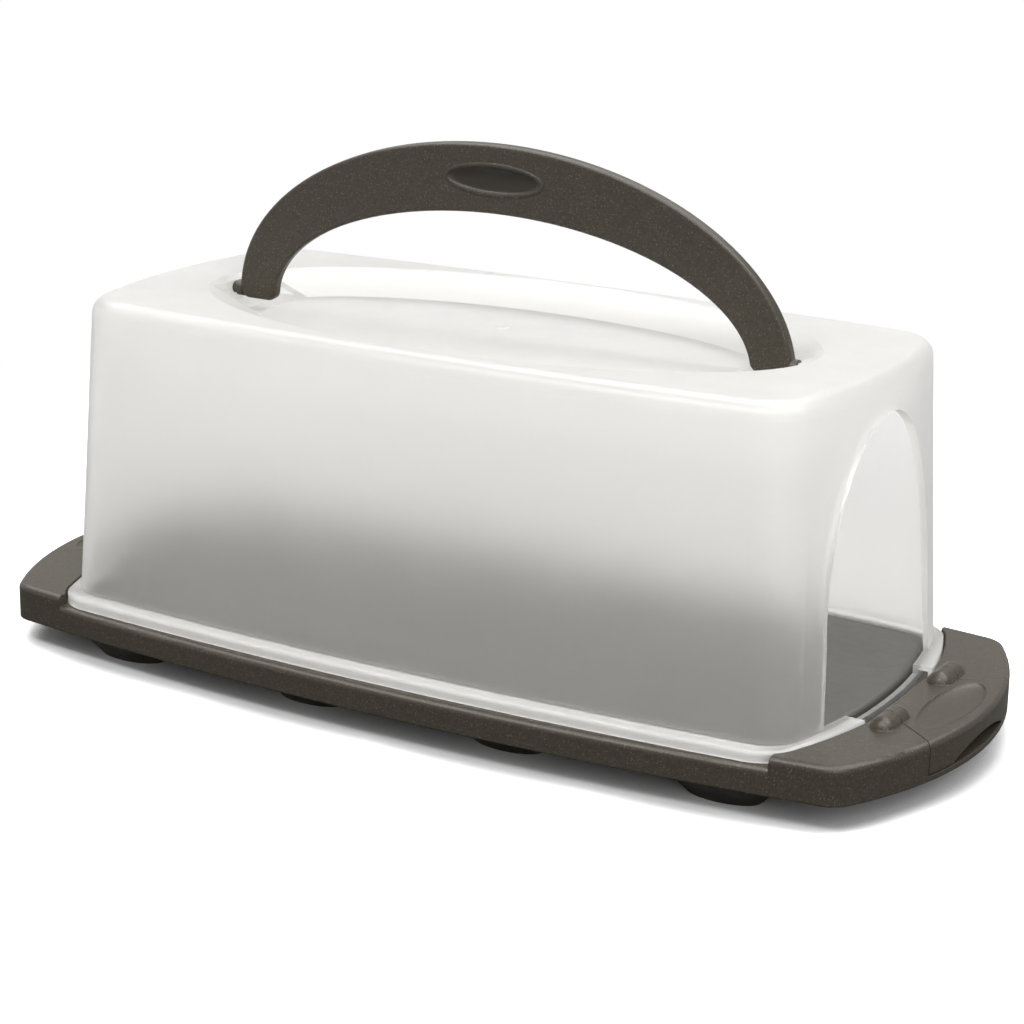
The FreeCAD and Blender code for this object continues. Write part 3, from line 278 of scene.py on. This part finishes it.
def frosted_plastic():
    """Milky translucent moulding: blurs what is behind it, and looks whiter the flatter it is seen."""
    material, tree = new_material("frosted_plastic")
    blurred = add(tree, "ShaderNodeBsdfPrincipled", {
        "Base Color": rgba(FROSTED_CLEAR),
        "Transmission Weight": 1.0,
        "IOR": 1.46,
        "Specular IOR Level": 0.3,
        "Roughness": satin(tree, noise(tree, scale=60.0, detail=3.0), 0.285, 0.325)}).outputs["BSDF"]
    seen = mix_shaders(tree, milkiness(tree), blurred, milk(tree))
    # light reaches what is inside, as it does through the real thin wall
    passed = add(tree, "ShaderNodeBsdfTransparent", {"Color": rgba(WALL_PASSES)}).outputs["BSDF"]
    show(tree, mix_shaders(tree, light_path(tree)["Is Shadow Ray"], seen, passed))
    return material


def grey_plastic():
    """Satin grey floor of the carrier, lightly scuffed, with a fine grain."""
    material, tree = new_material("grey_plastic")
    shader = add(tree, "ShaderNodeBsdfPrincipled", {
        "Base Color": clouded(tree, noise(tree, scale=35.0, detail=5.0), shaded(INSERT_GREY, 0.86),
                              INSERT_GREY),
        "Roughness": satin(tree, noise(tree, scale=300.0, detail=4.0), 0.36, 0.42),
        "Normal": moulded(tree, edge=0.4 * MM, grain=noise(tree, scale=1900.0), strength=0.08,
                          depth=0.03 * MM)})
    show(tree, shader.outputs["BSDF"])
    return material


def foot_rubber():
    """Matt black soft plastic with a faint bloom."""
    material, tree = new_material("foot_rubber")
    shader = add(tree, "ShaderNodeBsdfPrincipled", {
        "Base Color": clouded(tree, noise(tree, scale=90.0, detail=5.0), FOOT_BLACK,
                              shaded(FOOT_BLACK, 2.2), span=(0.4, 0.7)),
        "Roughness": satin(tree, noise(tree, scale=500.0, detail=3.0), 0.55, 0.72),
        "Normal": moulded(tree, edge=0.5 * MM, grain=noise(tree, scale=1600.0, detail=3.0),
                          strength=0.3, depth=0.08 * MM)})
    show(tree, shader.outputs["BSDF"])
    return material


def drawn_steel():
    """Plain wire, drawn along its length."""
    material, tree = new_material("drawn_steel")
    drawn_out = add(tree, "ShaderNodeMapping", {"Vector": place(tree), "Scale": (1.0, 0.04, 1.0)})
    lines = noise(tree, scale=2500.0, at=drawn_out.outputs["Vector"])
    shader = add(tree, "ShaderNodeBsdfPrincipled", {
        "Base Color": mix_colours(tree, lines, rgba(shaded(STEEL, 0.8)), rgba(STEEL)),
        "Metallic": 1.0,
        "Roughness": satin(tree, lines, 0.285, 0.36)})
    show(tree, shader.outputs["BSDF"])
    return material


def dress_nodes():
    """Each solid gets the finish of its material slot."""
    finishes = {"dark_plastic": anthracite_plastic(), "frosted_plastic": frosted_plastic(),
                "grey_plastic": grey_plastic(), "foot_rubber": foot_rubber(),
                "hinge_steel": drawn_steel()}
    for part in frame["record"]["subparts"]:
        shown = frame["nodes"][part["node"]]
        shown.data.materials.clear()
        shown.data.materials.append(finishes[part["material_slot"]])


# ---------------------------------------------------------------- studio

def seen_directly(tree):
    """1 for camera rays and for rays mirrored or passed through by the object, and 0 for the rest."""
    path = light_path(tree)
    first = maths(tree, "MAXIMUM", path["Is Camera Ray"], path["Is Glossy Ray"])
    return maths(tree, "MAXIMUM", first, path["Is Transmission Ray"])


def floor_colour(tree):
    """Pale to the camera with a painted dark contact shadow, paler behind the hood, and dim as a light.
    """
    path = light_path(tree)
    unseen = mix_colours(tree, path["Is Transmission Ray"], rgba(FLOOR_BOUNCE), rgba(FLOOR_BEHIND))
    # painted shadow: the floor's colour darkens where ambient occlusion finds the tray close by
    openness = add(tree, "ShaderNodeAmbientOcclusion", {"Distance": CONTACT_REACH},
                   samples=8).outputs["AO"]
    seen = mix_colours(tree, remap(tree, openness, CONTACT_OPENNESS), rgba(FLOOR_PAINTED_SHADOW),
                       rgba(FLOOR_SEEN))
    return mix_colours(tree, path["Is Camera Ray"], unseen, seen)


def studio_floor():
    """A pale floor that keeps the object's shadow and turns to plain white away from it."""
    mesh = bpy.data.meshes.new("studio_floor")
    corners = [(-FLOOR_HALF, -FLOOR_HALF, 0), (FLOOR_HALF, -FLOOR_HALF, 0),
               (FLOOR_HALF, FLOOR_HALF, 0), (-FLOOR_HALF, FLOOR_HALF, 0)]
    mesh.from_pydata(corners, [], [(0, 1, 2, 3)])
    floor = bpy.data.objects.new("studio_floor", mesh)
    bpy.context.scene.collection.objects.link(floor)
    material, tree = new_material("studio_floor")
    seen = seen_directly(tree)
    matt = add(tree, "ShaderNodeBsdfDiffuse", {"Color": floor_colour(tree)}).outputs["BSDF"]
    white = add(tree, "ShaderNodeEmission", {"Color": rgba(WHITE), "Strength": seen}).outputs["Emission"]
    distance = vector_maths(tree, "LENGTH", place(tree))["Value"]
    share = maths(tree, "MULTIPLY", remap(tree, distance, SHADOW_END), seen)
    show(tree, mix_shaders(tree, share, matt, white))
    mesh.materials.append(material)


def studio_world():
    """White surroundings: full white where they are seen, dimmer as a light.

    In reflections they also hold a broad soft box high overhead, and are dimmer at the back.
    """
    world = bpy.data.worlds.new("studio")
    bpy.context.scene.world = world
    world.use_nodes = True
    tree = world.node_tree
    tree.nodes.clear()
    plain = remap(tree, seen_directly(tree), (0.0, 1.0), (WORLD_LIGHT, 1.0))
    path = light_path(tree)
    mirrored = maths(tree, "SUBTRACT", path["Is Glossy Ray"], path["Is Transmission Ray"], clamped=True)
    aim = along_axes(tree, add(tree, "ShaderNodeTexCoord").outputs["Generated"])
    soft_box = remap(tree, aim["Z"], SOFT_BOX_EDGE, (0.0, SOFT_BOX_GLOW))
    loss = remap(tree, aim["Y"], BEHIND_EDGE, (0.0, -BEHIND_DIMMED))
    in_reflections = maths(tree, "MULTIPLY", maths(tree, "ADD", soft_box, loss), mirrored)
    background = add(tree, "ShaderNodeBackground", {
        "Color": rgba(WHITE), "Strength": maths(tree, "ADD", plain, in_reflections)})
    add(tree, "ShaderNodeOutputWorld", {"Surface": background.outputs["Background"]})


def soft_lamp(name, location, target, size, watts):
    lamp = bpy.data.lights.new(name, "AREA")
    lamp.shape = "RECTANGLE"
    lamp.size, lamp.size_y = size
    lamp.energy = watts
    holder = bpy.data.objects.new(name, lamp)
    holder.location = location
    holder.rotation_mode = "QUATERNION"
    holder.rotation_quaternion = (Vector(target) - Vector(location)).to_track_quat("-Z", "Y")
    bpy.context.scene.collection.objects.link(holder)


def studio_camera():
    """The camera at its fitted place, turned by azimuth and elevation and then rolled."""
    back = Vector((math.sin(CAMERA_AZIMUTH) * math.cos(CAMERA_ELEVATION),
                   -math.cos(CAMERA_AZIMUTH) * math.cos(CAMERA_ELEVATION),
                   math.sin(CAMERA_ELEVATION)))
    right = Vector((math.cos(CAMERA_AZIMUTH), math.sin(CAMERA_AZIMUTH), 0.0))
    up = back.cross(right)
    rolled_right = right * math.cos(CAMERA_ROLL) + up * math.sin(CAMERA_ROLL)
    rolled_up = up * math.cos(CAMERA_ROLL) - right * math.sin(CAMERA_ROLL)
    turn = Matrix((rolled_right, rolled_up, back)).transposed().to_4x4()
    camera = bpy.data.objects.new("camera", bpy.data.cameras.new("camera"))
    camera.matrix_world = Matrix.Translation(CAMERA_PLACE) @ turn
    camera.data.sensor_width = SENSOR_MM
    camera.data.lens = FOCAL_PIXELS / FRAME_PIXELS * SENSOR_MM
    camera.data.clip_end = CAMERA_SIGHT
    bpy.context.scene.collection.objects.link(camera)
    bpy.context.scene.camera = camera


dress_nodes()
studio_floor()
studio_world()
for lamp_name, lamp_values in LAMPS.items():
    soft_lamp(lamp_name, *lamp_values)
studio_camera()

bpy.context.scene.view_settings.view_transform = "Standard"
